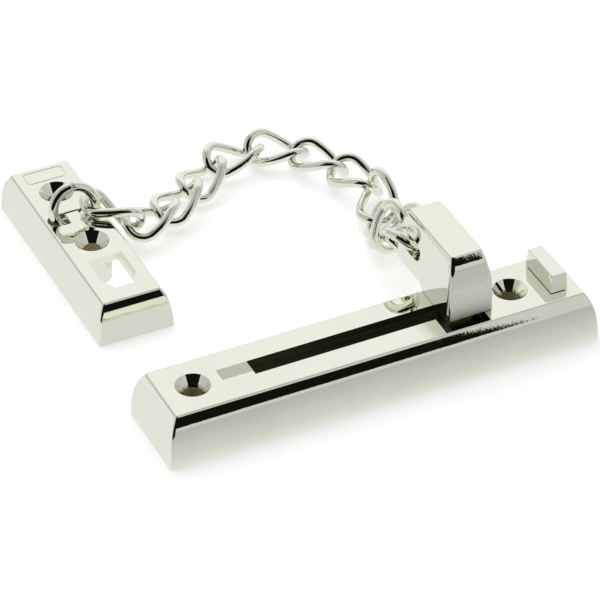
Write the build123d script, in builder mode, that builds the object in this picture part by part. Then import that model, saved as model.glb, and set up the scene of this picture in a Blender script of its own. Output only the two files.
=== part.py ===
from build123d import *
import math
import os

os.makedirs("parts", exist_ok=True)

# ------------------------------------------------------------------
# Driving dimensions, millimetres.
# Frame: origin at the middle of the guide's flat back, X along the
# guide towards its stop lug, Y towards the chain, Z out of the wall.
# ------------------------------------------------------------------

# guide plate
GUIDE_LENGTH = 128.0
GUIDE_WIDTH = 26.74
GUIDE_HEIGHT = 14.8
GUIDE_INSET = 3.4          # how far each side leans in from base to top
PLATE_LEAN = 8.0           # degrees a plate's side has leaned at half height
GUIDE_WALL = 2.6
GUIDE_TOP_WALL = 2.8
GUIDE_SCREW_X = (-51.4, 43.1)
CSK_DIAMETER = 9.7
CSK_DEPTH = 2.8
SCREW_BORE = 5.0
BOSS_RADIUS = 5.4
SLOT_HALF = 2.95           # half width of the long slot
SLOT_X0, SLOT_X1 = -33.5, 32.2
RECESS_X0 = -43.5          # shallow end of the slot
RECESS_DEPTH = 2.0
MOUTH_X0, MOUTH_X1 = 18.8, 32.2
MOUTH_Y = -9.6
LUG_X0, LUG_X1 = 52.1, 57.1
LUG_Y0, LUG_Y1 = -6.6, 7.8
LUG_HEIGHT = 5.6
LUG_DRAFT = 4.0            # degrees
LUG_GAP, LUG_GAP_IN = 0.22, 0.5   # shadow gap round the lug's foot

# keep plate
KEEP_X, KEEP_Y = -48.98, 78.34
KEEP_WIDTH = 22.4
KEEP_LENGTH = 71.65
KEEP_HEIGHT = 12.02
KEEP_INSET = 2.73
KEEP_WALL = 2.3
KEEP_TOP_WALL = 2.4
KEEP_SCREW_Y = (20.1, -5.3)
KEEP_CSK_DIAMETER = 9.8
SLOT_RING_Y = 7.25         # cross slot under the ring
SLOT_RING_LENGTH = 15.8
SLOT_RING_WIDTH = 5.5
BAR_X0, BAR_X1 = -1.9, 2.4
BAR_Z0, BAR_Z1 = 10.5, 11.75

# slider
SLIDER_X, SLIDER_Y = 28.13, 9.93
SLIDER_BASE = (13.82, 31.2)
SLIDER_INSET_X, SLIDER_INSET_Y = 2.19, 3.27
SLIDER_LEAN = 4.5          # degrees leaned at half height
SLIDER_Z0, SLIDER_Z1 = 14.9, 33.55
SLIDER_UNDERCUT_Z = 16.7
NECK_X0, NECK_X1 = 22.4, 31.9
NECK_HALF = 2.7
FOOT_Y0 = -8.4
FOOT_Z0, FOOT_Z1 = 9.5, 11.75
CHAIN_SLOT_Z0, CHAIN_SLOT_Z1 = 22.0, 27.3
CHAIN_SLOT_Y0 = 12.1
POST_X, POST_Y = 24.0, 23.0
POST_RADIUS = 1.9

# ring and chain wire
RING_CENTRE = (0.3, 7.5, 14.7)   # in the keep's own axes
RING_RADIUS = 6.3
RING_WIRE = 2.9
RING_TILT = 14.0
LINK_WIRE = 2.65

# each link: centre x, y, z; yaw, pitch, roll; twist end to end in degrees;
# half length and half width of its centreline
LINKS = [
    (-37.96, 84.11, 11.42, -34.4, -23.0, 146.9, -99.0, 8.50, 5.20),
    (-27.01, 82.07, 6.86, 18.1, 0.8, -8.3, -99.0, 8.50, 5.20),
    (-16.53, 87.45, 5.75, 31.5, 3.4, -8.7, -99.0, 8.50, 5.20),
    (-5.20, 95.58, 4.96, 37.2, 0.7, -7.7, -99.0, 8.50, 5.20),
    (7.18, 101.11, 5.14, 4.4, -4.6, -3.8, -99.0, 8.50, 5.20),
    (20.23, 99.36, 4.60, -30.1, -5.2, -1.0, -99.0, 8.50, 5.20),
    (28.76, 88.92, 4.98, -56.4, -2.1, -8.0, -99.0, 8.50, 5.20),
    (34.10, 76.09, 5.49, -71.8, -0.3, -5.9, -99.0, 8.50, 5.20),
    (34.54, 63.41, 6.24, -110.7, -16.1, 34.7, -99.0, 8.50, 5.20),
    (31.21, 51.38, 5.62, -101.2, 8.0, 16.3, -99.0, 8.50, 5.20),
    (27.98, 40.63, 8.76, -104.8, 24.3, -9.3, -99.0, 8.50, 5.20),
    (25.31, 34.30, 18.00, -83.3, 76.5, -56.4, -99.0, 8.50, 5.20),
    (24.25, 25.89, 24.33, -114.7, 9.5, 10.3, -99.0, 9.00, 5.30),
]


def side_arcs(inset, height, start):
    """A side starts square to the base, has leaned by the start angle at
    half height, and turns in more sharply above. Gives the two arcs."""
    mid = height / 2
    t1 = math.radians(start)
    i1 = mid * math.tan(t1 / 2)
    t2 = 2 * math.atan((inset - i1) / (height - mid)) - t1
    r1 = mid / math.sin(t1)
    r2 = (height - mid) / (math.sin(t2) - math.sin(t1))
    return mid, t1, i1, r1, r2


def lean(half, inset, height, start, z, wall=0.0):
    """Half width at height z of a side that leans in along its arcs."""
    mid, t1, i1, r1, r2 = side_arcs(inset, height, start)
    if z <= mid - wall * math.sin(t1):
        return half - r1 + math.sqrt((r1 - wall) ** 2 - z**2)
    zc = mid - r2 * math.sin(t1)
    return half - i1 - r2 * math.cos(t1) + math.sqrt(max((r2 - wall) ** 2 - (z - zc) ** 2, 0.0))


def leaning_profile(half, inset, height, start, z0, z1, wall=0.0):
    """Closed outline of a plate's cross-section between two heights."""
    mid, t1, _, _, _ = side_arcs(inset, height, start)
    zj = mid - wall * math.sin(t1)
    zs = (z0, (z0 + zj) / 2, zj, (zj + z1) / 2, z1)
    a = [lean(half, inset, height, start, z, wall) for z in zs]
    Line((-a[0], zs[0]), (a[0], zs[0]))
    ThreePointArc((a[0], zs[0]), (a[1], zs[1]), (a[2], zs[2]))
    ThreePointArc((a[2], zs[2]), (a[3], zs[3]), (a[4], zs[4]))
    Line((a[4], zs[4]), (-a[4], zs[4]))
    ThreePointArc((-a[4], zs[4]), (-a[3], zs[3]), (-a[2], zs[2]))
    ThreePointArc((-a[2], zs[2]), (-a[1], zs[1]), (-a[0], zs[0]))


# ------------------------------------------------------------------
# Guide: long cast plate, hollow underneath, with a lengthwise slot
# ------------------------------------------------------------------
with BuildPart() as guide:
    # outer body: a leaning cross-section along X cut by one along Y
    with BuildSketch(Plane.YZ):
        with BuildLine():
            leaning_profile(GUIDE_WIDTH / 2, GUIDE_INSET, GUIDE_HEIGHT, PLATE_LEAN, 0, GUIDE_HEIGHT)
        make_face()
    extrude(amount=GUIDE_LENGTH / 2 + 2, both=True)
    with BuildSketch(Plane.XZ):
        with BuildLine():
            leaning_profile(GUIDE_LENGTH / 2, GUIDE_INSET, GUIDE_HEIGHT, PLATE_LEAN, 0, GUIDE_HEIGHT)
        make_face()
    extrude(amount=GUIDE_WIDTH / 2 + 2, both=True, mode=Mode.INTERSECT)
    corners = [e for e in guide.edges() if e.bounding_box().size.Z > 2]
    fillet(corners, radius=0.8)
    fillet(guide.faces().sort_by(Axis.Z)[-1].edges(), radius=1.1)

    # stop lug at the right-hand end, on a foot a little smaller than itself
    with BuildSketch(Plane.XY.offset(GUIDE_HEIGHT - 0.3)):
        with Locations(((LUG_X0 + LUG_X1) / 2, (LUG_Y0 + LUG_Y1) / 2)):
            Rectangle(LUG_X1 - LUG_X0 - 2 * LUG_GAP_IN, LUG_Y1 - LUG_Y0 - 2 * LUG_GAP_IN)
    extrude(amount=0.3 + LUG_GAP + 0.3)
    with BuildSketch(Plane.XY.offset(GUIDE_HEIGHT + LUG_GAP)):
        with Locations(((LUG_X0 + LUG_X1) / 2, (LUG_Y0 + LUG_Y1) / 2)):
            Rectangle(LUG_X1 - LUG_X0, LUG_Y1 - LUG_Y0)
    extrude(amount=LUG_HEIGHT - LUG_GAP, taper=LUG_DRAFT)
    lug_top = guide.faces().sort_by(Axis.Z)[-1]
    fillet(lug_top.edges(), radius=0.3)

    # hollow underside, following the leaning sides
    cav_half = GUIDE_HEIGHT - GUIDE_TOP_WALL
    with BuildPart(mode=Mode.PRIVATE) as hollow:
        with BuildSketch(Plane.YZ):
            with BuildLine():
                leaning_profile(GUIDE_WIDTH / 2, GUIDE_INSET, GUIDE_HEIGHT, PLATE_LEAN, -1, cav_half, GUIDE_WALL)
            make_face()
        extrude(amount=GUIDE_LENGTH / 2, both=True)
        with BuildSketch(Plane.XZ):
            with BuildLine():
                leaning_profile(GUIDE_LENGTH / 2, GUIDE_INSET, GUIDE_HEIGHT, PLATE_LEAN, -1, cav_half, GUIDE_WALL)
            make_face()
        extrude(amount=GUIDE_WIDTH / 2, both=True, mode=Mode.INTERSECT)
        # solid pillars around the two screws
        with BuildSketch(Plane.XY.offset(-1)):
            with Locations((GUIDE_SCREW_X[0], 0), (GUIDE_SCREW_X[1], 0)):
                Circle(BOSS_RADIUS)
        extrude(amount=GUIDE_HEIGHT, mode=Mode.SUBTRACT)
    add(hollow.part, mode=Mode.SUBTRACT)

    # shallow end of the slot needs a thicker roof under it
    with BuildSketch(Plane.XY.offset(GUIDE_HEIGHT - RECESS_DEPTH - 1.6)):
        with Locations(((RECESS_X0 - 1.5 + SLOT_X0) / 2, 0)):
            Rectangle(SLOT_X0 - RECESS_X0 + 1.5, 2 * SLOT_HALF + 3.0)
    extrude(amount=1.8)

    # long slot, its shallow end and the mouth
    with BuildSketch(Plane.XY.offset(GUIDE_HEIGHT + 1)):
        with Locations(((SLOT_X0 + SLOT_X1) / 2, 0)):
            Rectangle(SLOT_X1 - SLOT_X0, 2 * SLOT_HALF)
    extrude(amount=-(GUIDE_TOP_WALL + 2), mode=Mode.SUBTRACT)
    with BuildSketch(Plane.XY.offset(GUIDE_HEIGHT + 1)):
        with Locations(((RECESS_X0 + SLOT_X0 + 1) / 2, 0)):
            RectangleRounded(SLOT_X0 - RECESS_X0 + 1, 2 * SLOT_HALF, 0.4)
    extrude(amount=-(RECESS_DEPTH + 1), mode=Mode.SUBTRACT)
    with BuildSketch(Plane.XY.offset(GUIDE_HEIGHT + 1)):
        with Locations(((MOUTH_X0 + MOUTH_X1) / 2, (MOUTH_Y - SLOT_HALF + 1) / 2)):
            Rectangle(MOUTH_X1 - MOUTH_X0, -MOUTH_Y - SLOT_HALF + 1)
    extrude(amount=-(GUIDE_TOP_WALL + 2), mode=Mode.SUBTRACT)

    # countersunk screw holes
    with BuildSketch(Plane.XY.offset(-1)):
        with Locations((GUIDE_SCREW_X[0], 0), (GUIDE_SCREW_X[1], 0)):
            Circle(SCREW_BORE / 2)
    extrude(amount=GUIDE_HEIGHT + 2, mode=Mode.SUBTRACT)
    for sx in GUIDE_SCREW_X:
        with BuildSketch(Plane(origin=(sx, 0, GUIDE_HEIGHT), x_dir=(1, 0, 0), z_dir=(0, -1, 0))):
            with BuildLine():
                Polyline(
                    (0, 0.6),
                    (CSK_DIAMETER / 2, 0.6),
                    (CSK_DIAMETER / 2, 0),
                    (SCREW_BORE / 2, -CSK_DEPTH),
                    (0, -CSK_DEPTH),
                    close=True,
                )
            make_face()
        revolve(axis=Axis((sx, 0, 0), (0, 0, 1)), mode=Mode.SUBTRACT)

guide.part.label = "guide"
export_step(guide.part, "parts/guide.step")

# ------------------------------------------------------------------
# Keep: short cast plate that holds the ring and parks the slider
# ------------------------------------------------------------------
with BuildPart() as keep:
    with BuildSketch(Plane(origin=(KEEP_X, KEEP_Y, 0), x_dir=(0, 1, 0), z_dir=(1, 0, 0))):
        with BuildLine():
            leaning_profile(KEEP_LENGTH / 2, KEEP_INSET, KEEP_HEIGHT, PLATE_LEAN, 0, KEEP_HEIGHT)
        make_face()
    extrude(amount=KEEP_WIDTH / 2 + 2, both=True)
    with BuildSketch(Plane(origin=(KEEP_X, KEEP_Y, 0), x_dir=(1, 0, 0), z_dir=(0, -1, 0))):
        with BuildLine():
            leaning_profile(KEEP_WIDTH / 2, KEEP_INSET, KEEP_HEIGHT, PLATE_LEAN, 0, KEEP_HEIGHT)
        make_face()
    extrude(amount=KEEP_LENGTH / 2 + 2, both=True, mode=Mode.INTERSECT)
    corners = [e for e in keep.edges() if e.bounding_box().size.Z > 2]
    fillet(corners, radius=0.8)
    fillet(keep.faces().sort_by(Axis.Z)[-1].edges(), radius=1.0)

    # hollow underside with solid pillars around the two screws
    with BuildPart(mode=Mode.PRIVATE) as keep_hollow:
        with BuildSketch(Plane(origin=(KEEP_X, KEEP_Y, 0), x_dir=(0, 1, 0), z_dir=(1, 0, 0))):
            with BuildLine():
                leaning_profile(KEEP_LENGTH / 2, KEEP_INSET, KEEP_HEIGHT, PLATE_LEAN, -1, KEEP_HEIGHT - KEEP_TOP_WALL, KEEP_WALL)
            make_face()
        extrude(amount=KEEP_WIDTH / 2, both=True)
        with BuildSketch(Plane(origin=(KEEP_X, KEEP_Y, 0), x_dir=(1, 0, 0), z_dir=(0, -1, 0))):
            with BuildLine():
                leaning_profile(KEEP_WIDTH / 2, KEEP_INSET, KEEP_HEIGHT, PLATE_LEAN, -1, KEEP_HEIGHT - KEEP_TOP_WALL, KEEP_WALL)
            make_face()
        extrude(amount=KEEP_LENGTH / 2, both=True, mode=Mode.INTERSECT)
        with BuildSketch(Plane.XY.offset(-1)):
            with Locations((KEEP_X, KEEP_Y + KEEP_SCREW_Y[0]), (KEEP_X, KEEP_Y + KEEP_SCREW_Y[1])):
                Circle(BOSS_RADIUS)
        extrude(amount=KEEP_HEIGHT, mode=Mode.SUBTRACT)
    add(keep_hollow.part, mode=Mode.SUBTRACT)

    # cross slot for the ring
    with BuildSketch(Plane.XY.offset(KEEP_HEIGHT + 1)):
        with Locations((KEEP_X, KEEP_Y + SLOT_RING_Y)):
            SlotOverall(SLOT_RING_LENGTH, SLOT_RING_WIDTH)
    extrude(amount=-(KEEP_TOP_WALL + 2), mode=Mode.SUBTRACT)

    # tapered window that parks the slider's foot
    with BuildSketch(Plane.XY.offset(KEEP_HEIGHT + 1)):
        with BuildLine():
            Polyline(
                (KEEP_X - 4.7, KEEP_Y - 13.5),
                (KEEP_X + 5.4, KEEP_Y - 13.5),
                (KEEP_X + 5.4, KEEP_Y - 23.3),
                (KEEP_X + 3.0, KEEP_Y - 27.6),
                (KEEP_X - 2.6, KEEP_Y - 27.6),
                (KEEP_X - 5.0, KEEP_Y - 23.3),
                close=True,
            )
        make_face()
    extrude(amount=-(KEEP_TOP_WALL + 2), mode=Mode.SUBTRACT)

    # bar across the slot, sunk a little below the top face
    with BuildSketch(Plane(origin=(KEEP_X, KEEP_Y + SLOT_RING_Y, 0), x_dir=(1, 0, 0), z_dir=(0, -1, 0))):
        with Locations(((BAR_X0 + BAR_X1) / 2, (BAR_Z0 + BAR_Z1) / 2)):
            RectangleRounded(BAR_X1 - BAR_X0, BAR_Z1 - BAR_Z0, 0.6)
    extrude(amount=SLOT_RING_WIDTH / 2 + 0.25, both=True)

    # countersunk screw holes
    with BuildSketch(Plane.XY.offset(-1)):
        with Locations((KEEP_X, KEEP_Y + KEEP_SCREW_Y[0]), (KEEP_X, KEEP_Y + KEEP_SCREW_Y[1])):
            Circle(SCREW_BORE / 2)
    extrude(amount=KEEP_HEIGHT + 2, mode=Mode.SUBTRACT)
    for sy in KEEP_SCREW_Y:
        with BuildSketch(Plane(origin=(KEEP_X, KEEP_Y + sy, KEEP_HEIGHT), x_dir=(1, 0, 0), z_dir=(0, -1, 0))):
            with BuildLine():
                Polyline(
                    (0, 0.6),
                    (KEEP_CSK_DIAMETER / 2, 0.6),
                    (KEEP_CSK_DIAMETER / 2, 0),
                    (SCREW_BORE / 2, -CSK_DEPTH),
                    (0, -CSK_DEPTH),
                    close=True,
                )
            make_face()
        revolve(axis=Axis((KEEP_X, KEEP_Y + sy, 0), (0, 0, 1)), mode=Mode.SUBTRACT)

    # shallow engraved outline near the far end, left blank inside
    with BuildSketch(Plane.XY.offset(KEEP_HEIGHT)):
        with Locations((KEEP_X, KEEP_Y + 28.9)):
            RectangleRounded(12.0, 5.4, 1.2)
            RectangleRounded(11.2, 4.6, 0.8, mode=Mode.SUBTRACT)
    extrude(amount=-0.25, mode=Mode.SUBTRACT)

keep.part.label = "keep"
export_step(keep.part, "parts/keep.step")

# ------------------------------------------------------------------
# Slider: block that runs along the guide, with a foot under the roof
# ------------------------------------------------------------------
with BuildPart() as slider:
    span = SLIDER_Z1 - 14.77
    with BuildSketch(Plane(origin=(SLIDER_X, SLIDER_Y, 14.77), x_dir=(0, 1, 0), z_dir=(1, 0, 0))):
        with BuildLine():
            leaning_profile(SLIDER_BASE[1] / 2, SLIDER_INSET_Y, span, SLIDER_LEAN, SLIDER_Z0 - 14.77, span)
        make_face()
    extrude(amount=SLIDER_BASE[0], both=True)
    with BuildSketch(Plane(origin=(SLIDER_X, SLIDER_Y, 14.77), x_dir=(1, 0, 0), z_dir=(0, -1, 0))):
        with BuildLine():
            leaning_profile(SLIDER_BASE[0] / 2, SLIDER_INSET_X, span, SLIDER_LEAN, SLIDER_Z0 - 14.77, span)
        make_face()
    extrude(amount=SLIDER_BASE[1], both=True, mode=Mode.INTERSECT)
    corners = [e for e in slider.edges() if e.bounding_box().size.Z > 2]
    fillet(corners, radius=1.3)
    fillet(slider.faces().sort_by(Axis.Z)[-1].edges(), radius=0.6)

    # raised underside behind the guide, with a curved step
    with BuildSketch(Plane(origin=(SLIDER_X, 0, 0), x_dir=(0, 1, 0), z_dir=(1, 0, 0))):
        with BuildLine():
            Line((10.0, SLIDER_Z0 - 1), (10.0, SLIDER_Z0))
            ThreePointArc((10.0, SLIDER_Z0), (10.6, SLIDER_Z0 + 1.25), (12.0, SLIDER_UNDERCUT_Z))
            Line((12.0, SLIDER_UNDERCUT_Z), (30.0, SLIDER_UNDERCUT_Z))
            Line((30.0, SLIDER_UNDERCUT_Z), (30.0, SLIDER_Z0 - 1))
            Line((30.0, SLIDER_Z0 - 1), (10.0, SLIDER_Z0 - 1))
        make_face()
    extrude(amount=SLIDER_BASE[0], both=True, mode=Mode.SUBTRACT)

    # slot through both sides and out of the back, for the last link
    zc = (CHAIN_SLOT_Z0 + CHAIN_SLOT_Z1) / 2
    zr = (CHAIN_SLOT_Z1 - CHAIN_SLOT_Z0) / 2
    with BuildSketch(Plane(origin=(SLIDER_X, 0, 0), x_dir=(0, 1, 0), z_dir=(1, 0, 0))):
        with BuildLine():
            Line((CHAIN_SLOT_Y0 + zr, CHAIN_SLOT_Z1), (30.0, CHAIN_SLOT_Z1))
            Line((30.0, CHAIN_SLOT_Z1), (30.0, CHAIN_SLOT_Z0))
            Line((30.0, CHAIN_SLOT_Z0), (CHAIN_SLOT_Y0 + zr, CHAIN_SLOT_Z0))
            ThreePointArc(
                (CHAIN_SLOT_Y0 + zr, CHAIN_SLOT_Z0),
                (CHAIN_SLOT_Y0, zc),
                (CHAIN_SLOT_Y0 + zr, CHAIN_SLOT_Z1),
            )
        make_face()
    extrude(amount=SLIDER_BASE[0], both=True, mode=Mode.SUBTRACT)
    # upright post inside the slot that the last link hooks round
    with BuildSketch(Plane.XY.offset(CHAIN_SLOT_Z0 - 0.3)):
        with Locations((POST_X, POST_Y)):
            Circle(POST_RADIUS)
    extrude(amount=CHAIN_SLOT_Z1 - CHAIN_SLOT_Z0 + 0.6)

    # neck through the guide's slot and the one-sided foot below it
    with BuildSketch(Plane.XY.offset(FOOT_Z0)):
        with Locations(((NECK_X0 + NECK_X1) / 2, 0)):
            Rectangle(NECK_X1 - NECK_X0, 2 * NECK_HALF)
    extrude(amount=SLIDER_Z0 - FOOT_Z0 + 0.3)
    with BuildSketch(Plane.XY.offset(FOOT_Z0)):
        with Locations(((NECK_X0 + NECK_X1) / 2, (FOOT_Y0 + NECK_HALF) / 2)):
            Rectangle(NECK_X1 - NECK_X0, NECK_HALF - FOOT_Y0)
    extrude(amount=FOOT_Z1 - FOOT_Z0)

slider.part.label = "slider"
export_step(slider.part, "parts/slider.step")

# ------------------------------------------------------------------
# Ring: wire ring through the keep's bar, its ends butted at the top
# ------------------------------------------------------------------
tilt = math.radians(RING_TILT)
ring_up = Vector(0, math.sin(tilt), math.cos(tilt))
ring_x = Vector(1, 0, 0)
ring_axis = ring_x.cross(ring_up)
ring_origin = Vector(KEEP_X + RING_CENTRE[0], KEEP_Y + RING_CENTRE[1], RING_CENTRE[2])
with BuildPart() as ring:
    gap = 0.22 / RING_RADIUS
    start = ring_up.rotate(Axis((0, 0, 0), ring_axis), math.degrees(gap) / 2)
    tangent = ring_axis.cross(start)
    with BuildSketch(Plane(origin=ring_origin + start * RING_RADIUS, x_dir=start, z_dir=tangent)):
        Circle(RING_WIRE / 2)
    revolve(axis=Axis(ring_origin, ring_axis), revolution_arc=360 - math.degrees(gap))
    fillet([e for e in ring.edges() if e.geom_type == GeomType.CIRCLE and abs(e.length - math.pi * RING_WIRE) < 0.05], radius=0.35)

ring.part.label = "ring"
export_step(ring.part, "parts/ring.step")


# ------------------------------------------------------------------
# Links: thirteen separate twisted wire links
# ------------------------------------------------------------------
def link_points(x, y, z, yaw, pitch, roll, twist, half_length, half_width):
    """Corner points of one link's centreline, before rounding."""
    s = half_length - half_width
    rv = half_width / math.cos(math.radians(22.5))
    flat = []
    for ang in (-67.5, -22.5, 22.5, 67.5):
        flat.append((s + rv * math.cos(math.radians(ang)), rv * math.sin(math.radians(ang))))
    flat.append((0.0, half_width * 1.06))
    for ang in (112.5, 157.5, 202.5, 247.5):
        flat.append((-s + rv * math.cos(math.radians(ang)), rv * math.sin(math.radians(ang))))
    flat.append((0.0, -half_width * 1.06))
    cy, sy = math.cos(math.radians(yaw)), math.sin(math.radians(yaw))
    cp, sp = math.cos(math.radians(pitch)), math.sin(math.radians(pitch))
    cr, sr = math.cos(math.radians(roll)), math.sin(math.radians(roll))
    out = []
    for px, py in flat:
        ph = math.radians(twist) * px / (2 * half_length)
        a, b, c = px, py * math.cos(ph), py * math.sin(ph)
        b, c = b * cr - c * sr, b * sr + c * cr
        a, c = a * cp - c * sp, a * sp + c * cp
        a, b = a * cy - b * sy, a * sy + b * cy
        out.append((x + a, y + b, z + c))
    return out


def corner_radii(pts, share=0.47):
    """Bend radius at each corner, as large as its two runs allow."""
    n = len(pts)
    radii = []
    for i in range(n):
        p, q, r = Vector(*pts[i - 1]), Vector(*pts[i]), Vector(*pts[(i + 1) % n])
        turn = math.radians((q - p).get_angle(r - q))
        run = min((q - p).length, (r - q).length)
        radii.append(share * run / math.tan(turn / 2))
    return radii


for number, pose in enumerate(LINKS, start=1):
    pts = link_points(*pose)
    with BuildPart() as link:
        with BuildLine() as path:
            FilletPolyline(*pts, radius=corner_radii(pts), close=True)
        # the closed centreline is run in two halves that meet face to face
        loop = path.wires()[0].order_edges()
        length = sum(e.length for e in loop)
        for half in (loop[: len(loop) // 2], loop[len(loop) // 2 :]):
            run = Wire(half)
            with BuildSketch(Plane(origin=run @ 0, z_dir=run % 0)):
                Circle(LINK_WIRE / 2)
            sweep(path=run)
    link.part.label = "link_%02d" % number
    export_step(link.part, "parts/link_%02d.step" % number)
    print(link.part.label, "length %.2f" % length, "volume ratio %.4f" % (link.part.volume / (length * math.pi * LINK_WIRE**2 / 4)))
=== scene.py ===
import math

import bpy
from mathutils import Matrix, Vector

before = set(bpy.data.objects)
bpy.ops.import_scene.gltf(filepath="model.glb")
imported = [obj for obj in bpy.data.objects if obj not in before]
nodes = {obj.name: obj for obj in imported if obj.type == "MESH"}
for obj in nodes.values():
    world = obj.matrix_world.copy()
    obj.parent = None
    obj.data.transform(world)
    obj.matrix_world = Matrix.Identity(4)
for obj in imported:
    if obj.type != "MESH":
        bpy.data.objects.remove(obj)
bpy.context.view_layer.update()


# ------------------------------------------------------------------
# node helpers
# ------------------------------------------------------------------
class Graph:
    """Small helper for building shader node trees."""

    def __init__(self, tree):
        self.tree = tree
        tree.nodes.clear()

    def add(self, kind, **props):
        n = self.tree.nodes.new(kind)
        for k, v in props.items():
            setattr(n, k, v)
        return n

    def put(self, socket, value):
        if hasattr(value, "is_output"):
            self.tree.links.new(value, socket)
        else:
            socket.default_value = value

    def math(self, op, a, b=None, c=None, clamp=False):
        n = self.add("ShaderNodeMath", operation=op, use_clamp=clamp)
        self.put(n.inputs[0], a)
        if b is not None:
            self.put(n.inputs[1], b)
        if c is not None:
            self.put(n.inputs[2], c)
        return n.outputs[0]

    def step(self, x, lo, hi, a=0.0, b=1.0):
        """Smooth step of x from lo to hi, giving a to b."""
        n = self.add("ShaderNodeMapRange", interpolation_type="SMOOTHSTEP", clamp=True)
        self.put(n.inputs["Value"], x)
        for name, v in (("From Min", lo), ("From Max", hi), ("To Min", a), ("To Max", b)):
            self.put(n.inputs[name], v)
        return n.outputs["Result"]

    def mix(self, f, a, b, blend="MIX"):
        n = self.add("ShaderNodeMix", data_type="RGBA", blend_type=blend)
        self.put(n.inputs[0], f)
        self.put(n.inputs[6], a)
        self.put(n.inputs[7], b)
        return n.outputs[2]

    def noise(self, vec, scale, detail=2.0, rough=0.5, distortion=0.0):
        n = self.add("ShaderNodeTexNoise")
        self.put(n.inputs["Vector"], vec)
        n.inputs["Scale"].default_value = scale
        n.inputs["Detail"].default_value = detail
        n.inputs["Roughness"].default_value = rough
        n.inputs["Distortion"].default_value = distortion
        return n.outputs["Fac"]


# ------------------------------------------------------------------
# plated metal: bright nickel over a polished casting or drawn wire
# ------------------------------------------------------------------
def plated(name, tint, shade, rough, ripple, ripple_scale, grain, grain_scale, stretch=(1, 1, 1), metal=1.0, satin=None):
    m = bpy.data.materials.new(name)
    m.use_nodes = True
    g = Graph(m.node_tree)
    out = g.add("ShaderNodeOutputMaterial")
    bsdf = g.add("ShaderNodeBsdfPrincipled")
    g.tree.links.new(bsdf.outputs[0], out.inputs[0])
    bsdf.inputs["Metallic"].default_value = metal
    where = g.add("ShaderNodeTexCoord").outputs["Object"]
    mp = g.add("ShaderNodeMapping")
    g.put(mp.inputs["Vector"], where)
    mp.inputs["Scale"].default_value = stretch
    v = mp.outputs[0]
    # colour: the plating is a little warmer where it is thin
    cloud = g.noise(v, 55.0, 3.0, 0.55)
    fine = g.noise(v, 900.0, 2.0, 0.6)
    blotch = g.step(cloud, 0.42, 0.66)
    base = g.mix(blotch, (*tint, 1.0), (*shade, 1.0))
    speck = g.step(fine, 0.66, 0.74)
    base = g.mix(g.math("MULTIPLY", speck, 0.10), base, (0.42, 0.40, 0.34, 1.0))
    g.put(bsdf.inputs["Base Color"], base)
    # gloss: mirror bright with faint polishing haze
    haze = g.noise(v, 140.0, 4.0, 0.6)
    r = g.step(haze, 0.40, 0.75, rough, rough * 2.0)
    if satin:
        # the front of the block is less well polished towards its foot
        z_hi, z_lo, amount, matt = satin
        tex = g.add("ShaderNodeTexCoord")
        pos, nor = g.add("ShaderNodeSeparateXYZ"), g.add("ShaderNodeSeparateXYZ")
        g.put(pos.inputs[0], tex.outputs["Object"])
        g.put(nor.inputs[0], tex.outputs["Normal"])
        facing = g.step(nor.outputs[1], -0.93, -0.80, 1.0, 0.0)
        low = g.step(pos.outputs[2], z_lo, z_hi, 1.0, 0.0)
        zone = g.math("MULTIPLY", facing, low)
        r = g.math("MULTIPLY_ADD", zone, amount, r)
        g.put(bsdf.inputs["Metallic"], g.math("MULTIPLY_ADD", zone, -matt, 1.0))
    g.put(bsdf.inputs["Roughness"], r)
    # surface: slow ripple of the casting and a fine grain under the plating
    slow = g.noise(v, ripple_scale, 2.0, 0.45)
    grainy = g.noise(v, grain_scale, 2.0, 0.5)
    b1 = g.add("ShaderNodeBump")
    b1.inputs["Strength"].default_value = 1.0
    b1.inputs["Distance"].default_value = ripple
    g.put(b1.inputs["Height"], slow)
    b2 = g.add("ShaderNodeBump")
    b2.inputs["Strength"].default_value = 1.0
    b2.inputs["Distance"].default_value = grain
    g.put(b2.inputs["Height"], grainy)
    g.tree.links.new(b1.outputs[0], b2.inputs["Normal"])
    g.tree.links.new(b2.outputs[0], bsdf.inputs["Normal"])
    return m


cast = plated("plated_casting", (0.875, 0.895, 0.785), (0.855, 0.87, 0.76), 0.018, 0.00003, 70.0, 0.0000030, 1300.0)
block = plated("plated_block", (0.875, 0.895, 0.785), (0.855, 0.87, 0.76), 0.018, 0.00003, 70.0, 0.0000030, 1300.0, satin=(0.0270, 0.0195, 0.40, 0.92))
wire = plated("plated_wire", (0.86, 0.875, 0.775), (0.83, 0.845, 0.74), 0.05, 0.00001, 260.0, 0.0000012, 1800.0)


def shade(obj, angle=32.0):
    """Smooth faces that meet under the angle, crisp edges elsewhere."""
    me = obj.data
    if me.has_custom_normals:
        bpy.context.view_layer.objects.active = obj
        obj.select_set(True)
        bpy.ops.mesh.customdata_custom_splitnormals_clear()
        obj.select_set(False)
    me.polygons.foreach_set("use_smooth", [True] * len(me.polygons))
    me.set_sharp_from_angle(angle=math.radians(angle))


def inner_faces(o, top, half_x, half_y, cx, cy, skin):
    """Second material on the hollow underside: faces under the roof that
    lie well inside the outer skin."""
    for p in o.data.polygons:
        c = p.center
        x, y = abs(c.x - cx), abs(c.y - cy)
        flat_base = c.z < 1e-5
        if c.z < top and not flat_base and x < half_x - skin and y < half_y - skin:
            p.material_index = 1


for n, o in nodes.items():
    o.data.materials.clear()
    o.data.materials.append(wire if n.startswith("link") or n == "ring" else block if n == "slider" else cast)
    shade(o)
# dark olive colour for the inside of the guide's hollow: painted shade, with olive streaks as painted reflection
hollow_painted_shade = plated("painted_shade_inside", (0.29, 0.275, 0.13), (0.08, 0.075, 0.03), 0.20, 0.00006, 160.0, 0.000002, 900.0, (0.10, 1.0, 1.6))
bore_wall = plated("plated_bore", (0.66, 0.61, 0.40), (0.50, 0.45, 0.27), 0.40, 0.00002, 300.0, 0.000002, 1200.0, metal=0.35)


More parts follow.
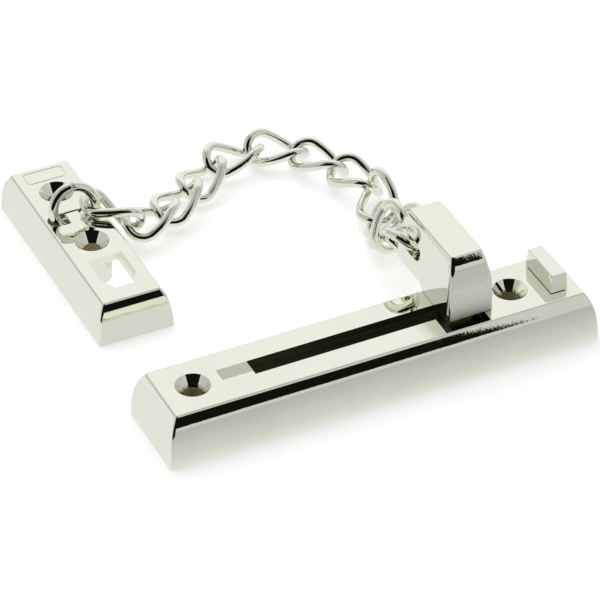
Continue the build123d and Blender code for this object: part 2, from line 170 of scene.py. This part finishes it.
def bore_faces(o, slot, cx, cy, radius, top):
    """Duller material on the bore below a countersink."""
    verts = o.data.vertices
    for p in o.data.polygons:
        if all((verts[i].co.x - cx) ** 2 + (verts[i].co.y - cy) ** 2 < radius**2 for i in p.vertices) and p.center.z < top:
            p.material_index = slot


guide, keep = nodes["guide"], nodes["keep"]
# the guide's hollow underside takes this painted shade
guide.data.materials.append(hollow_painted_shade)
inner_faces(guide, 0.01235, 0.064, 0.01337, 0.0, 0.0, 0.0022)
guide.data.materials.append(bore_wall)
for x in (-0.0514, 0.0431):
    bore_faces(guide, 2, x, 0.0, 0.00262, 0.01255)
# the neck and foot of the slider, as dull and dark as the inside they run in: painted shade
slider = nodes["slider"]
slider.data.materials.append(hollow_painted_shade)
for p in slider.data.polygons:
    if max(slider.data.vertices[i].co.z for i in p.vertices) < 0.01495:
        p.material_index = 1
keep.data.materials.append(bore_wall)
for y in (0.07304, 0.09844):
    bore_faces(keep, 1, -0.04898, y, 0.00262, 0.0098)

# ------------------------------------------------------------------
# floor: one sheet that is looked at, and one glowing sheet that only the plating
# mirrors, a painted reflection of the floor, which falls off in brightness away from the object
# ------------------------------------------------------------------
def sheet_of_floor(name, z):
    me = bpy.data.meshes.new(name)
    s = 6.0
    me.from_pydata([(-s, -s, z), (s, -s, z), (s, s, z), (-s, s, z)], [], [(0, 1, 2, 3)])
    o = bpy.data.objects.new(name, me)
    bpy.context.scene.collection.objects.link(o)
    m = bpy.data.materials.new(name)
    m.use_nodes = True
    gr = Graph(m.node_tree)
    res = gr.add("ShaderNodeOutputMaterial")
    b = gr.add("ShaderNodeBsdfPrincipled")
    gr.tree.links.new(b.outputs[0], res.inputs[0])
    b.inputs["Roughness"].default_value = 0.9
    b.inputs["Specular IOR Level"].default_value = 0.05
    me.materials.append(m)
    return o, gr, b


floor, g, b = sheet_of_floor("floor", -0.00005)
b.inputs["Base Color"].default_value = (0.62, 0.62, 0.617, 1.0)
# the sheet glows evenly, as if lit from below, except where the guide covers it: there the glow is cut out, a
# painted shade under the guide
place = g.add("ShaderNodeTexCoord").outputs["Object"]
sep = g.add("ShaderNodeSeparateXYZ")
g.put(sep.inputs[0], place)
px, py, pz = sep.outputs
in_x = g.step(g.math("ABSOLUTE", px), 0.0625, 0.0635, 1.0, 0.0)
in_y = g.step(g.math("ABSOLUTE", py), 0.0120, 0.0130, 1.0, 0.0)
guide_painted_shade = g.math("MULTIPLY", in_x, in_y)
# and glows more strongly below the keep's window: a painted pool of light seen through the window
win_x = g.step(g.math("ABSOLUTE", g.math("ADD", px, 0.04898)), 0.0100, 0.0106, 1.0, 0.0)
win_y = g.step(g.math("ABSOLUTE", g.math("SUBTRACT", py, 0.0615)), 0.0170, 0.0175, 1.0, 0.0)
window = g.math("MULTIPLY", win_x, win_y)
b.inputs["Emission Color"].default_value = (1.0, 1.0, 0.995, 1.0)
glow_with_window_light = g.math("MULTIPLY_ADD", window, 0.55, 0.5)
g.put(b.inputs["Emission Strength"], g.math("MULTIPLY_ADD", guide_painted_shade, -0.5, glow_with_window_light))
floor.visible_glossy = False

painted_reflection_sheet, g, b = sheet_of_floor("painted_floor_reflection", -0.00004)
place = g.add("ShaderNodeTexCoord").outputs["Object"]
sep = g.add("ShaderNodeSeparateXYZ")
g.put(sep.inputs[0], place)
px, py, pz = sep.outputs
# painted reflection of the floor: glows brightest close to the object, falling off in front
ahead = g.math("MAXIMUM", g.math("SUBTRACT", -0.0134, py), 0.0)
near = g.math("DIVIDE", 0.007, g.math("ADD", ahead, 0.007))
painted_reflection_glow = g.math("MULTIPLY_ADD", near, 0.355, 0.505)
# painted shade: a little darker in the gap between the two plates
gap_x = g.math("MULTIPLY", g.step(px, -0.066, -0.058), g.step(px, -0.030, -0.005, 1.0, 0.0))
gap_y = g.math("MULTIPLY", g.step(py, 0.012, 0.018), g.step(py, 0.0425, 0.0428, 1.0, 0.0))
painted_reflection_glow = g.math("MULTIPLY", painted_reflection_glow, g.math("MULTIPLY_ADD", g.math("MULTIPLY", gap_x, gap_y), -0.14, 1.0))
# painted shade: dark below the guide and the keep, apart from the keep's window
cover_g = g.math("MULTIPLY", g.step(g.math("ABSOLUTE", px), 0.0625, 0.0638, 1.0, 0.0), g.step(g.math("ABSOLUTE", py), 0.0120, 0.0133, 1.0, 0.0))
keep_x = g.step(g.math("ABSOLUTE", g.math("ADD", px, 0.04898)), 0.0100, 0.0110, 1.0, 0.0)
cover_k = g.math("MULTIPLY", keep_x, g.step(g.math("ABSOLUTE", g.math("SUBTRACT", py, 0.0965)), 0.0165, 0.0170, 1.0, 0.0))
painted_reflection_glow = g.math("MULTIPLY", painted_reflection_glow, g.math("MULTIPLY_ADD", g.math("MAXIMUM", cover_g, cover_k), -0.90, 1.0))
b.inputs["Base Color"].default_value = (0.0, 0.0, 0.0, 1.0)
b.inputs["Emission Color"].default_value = (1.0, 1.0, 0.995, 1.0)
g.put(b.inputs["Emission Strength"], painted_reflection_glow)
painted_reflection_sheet.visible_camera = False
painted_reflection_sheet.visible_diffuse = False
painted_reflection_sheet.visible_shadow = False

# ------------------------------------------------------------------
# studio: brightest behind, softer at both sides and overhead, and a
# dark room in front
# ------------------------------------------------------------------
world = bpy.data.worlds.new("studio")
bpy.context.scene.world = world
world.use_nodes = True
g = Graph(world.node_tree)
out = g.add("ShaderNodeOutputWorld")
bg = g.add("ShaderNodeBackground")
g.tree.links.new(bg.outputs[0], out.inputs[0])
d = g.add("ShaderNodeTexCoord").outputs["Generated"]
sep = g.add("ShaderNodeSeparateXYZ")
g.put(sep.inputs[0], d)
dx, dy, dz = sep.outputs
elev = g.math("ARCSINE", dz)
azim = g.math("ARCTAN2", dy, dx)
R = math.radians
# brightness round the horizon: right front, back, left back
side = g.step(azim, R(-62), R(-35), 0.66, 0.58)
rise = g.step(azim, R(-10), R(35))
fall = g.step(azim, R(98), R(122), 1.0, 0.0)
ring_tone = g.math("MULTIPLY_ADD", g.math("MULTIPLY", rise, fall), 0.37, side)
level = g.math("MULTIPLY", ring_tone, g.step(elev, R(48), R(82), 1.0, 0.66))
sky = g.mix(1.0, (1.0, 1.0, 0.99, 1.0), level, "MULTIPLY")
# the dark front sector
left_edge = g.step(azim, R(-170), R(-163))
right_edge = g.step(azim, R(-66.73), R(-66.45), 1.0, 0.0)
top_edge = g.step(elev, R(62), R(82), 1.0, 0.0)
dark = g.math("MULTIPLY", g.math("MULTIPLY", left_edge, right_edge), top_edge)
# the pale table runs on a little above the horizon
straight = g.math("MULTIPLY", g.step(azim, R(-80), R(-76)), g.step(azim, R(-60), R(-56), 1.0, 0.0))
low_edge = g.step(g.math("SUBTRACT", elev, g.math("MULTIPLY", straight, R(5))), R(-0.4), R(0.4))
dark = g.math("MULTIPLY", dark, low_edge)
sky = g.mix(dark, sky, (0.006, 0.0063, 0.0042, 1.0))
g.put(bg.inputs["Color"], sky)
bg.inputs["Strength"].default_value = 1.0


def softbox(name, pos, aim, size, power, seen=True):
    lamp = bpy.data.lights.new(name, "AREA")
    lamp.shape = "RECTANGLE"
    lamp.size, lamp.size_y = size
    lamp.energy = power
    o = bpy.data.objects.new(name, lamp)
    bpy.context.scene.collection.objects.link(o)
    o.location = pos
    o.rotation_euler = (Vector(aim) - Vector(pos)).to_track_quat("-Z", "Y").to_euler()
    o.visible_glossy = seen
    return o


softbox("top_softbox", (-0.2, 0.35, 1.3), (0, 0.04, 0), (1.6, 1.4), 12.0, seen=False)

# ------------------------------------------------------------------
# camera, at the photograph's viewing angle
# ------------------------------------------------------------------
AZ, EL, ROLL, DIST = R(-25.742), R(37.849), R(0.009), 1.02581
TARGET = Vector((-0.00198, 0.03770, 0.0))
right = Vector((math.cos(AZ), math.sin(AZ), 0.0))
back = Vector((math.sin(AZ) * 0, 0, 0))
back = Vector((-0.3429, -0.7113, 0.6136)).normalized()
right = (right - back * right.dot(back)).normalized()
up = back.cross(right)
cam_data = bpy.data.cameras.new("camera")
cam_data.sensor_width = 36.0
cam_data.lens = 3707.8 * 36.0 / 600.0
cam_data.clip_start, cam_data.clip_end = 0.05, 20.0
cam = bpy.data.objects.new("camera", cam_data)
bpy.context.scene.collection.objects.link(cam)
pos = TARGET + back * DIST
cam.matrix_world = Matrix(
    (
        (right.x, up.x, back.x, pos.x),
        (right.y, up.y, back.y, pos.y),
        (right.z, up.z, back.z, pos.z),
        (0, 0, 0, 1),
    )
)
bpy.context.scene.camera = cam
bpy.context.scene.view_settings.view_transform = "Standard"
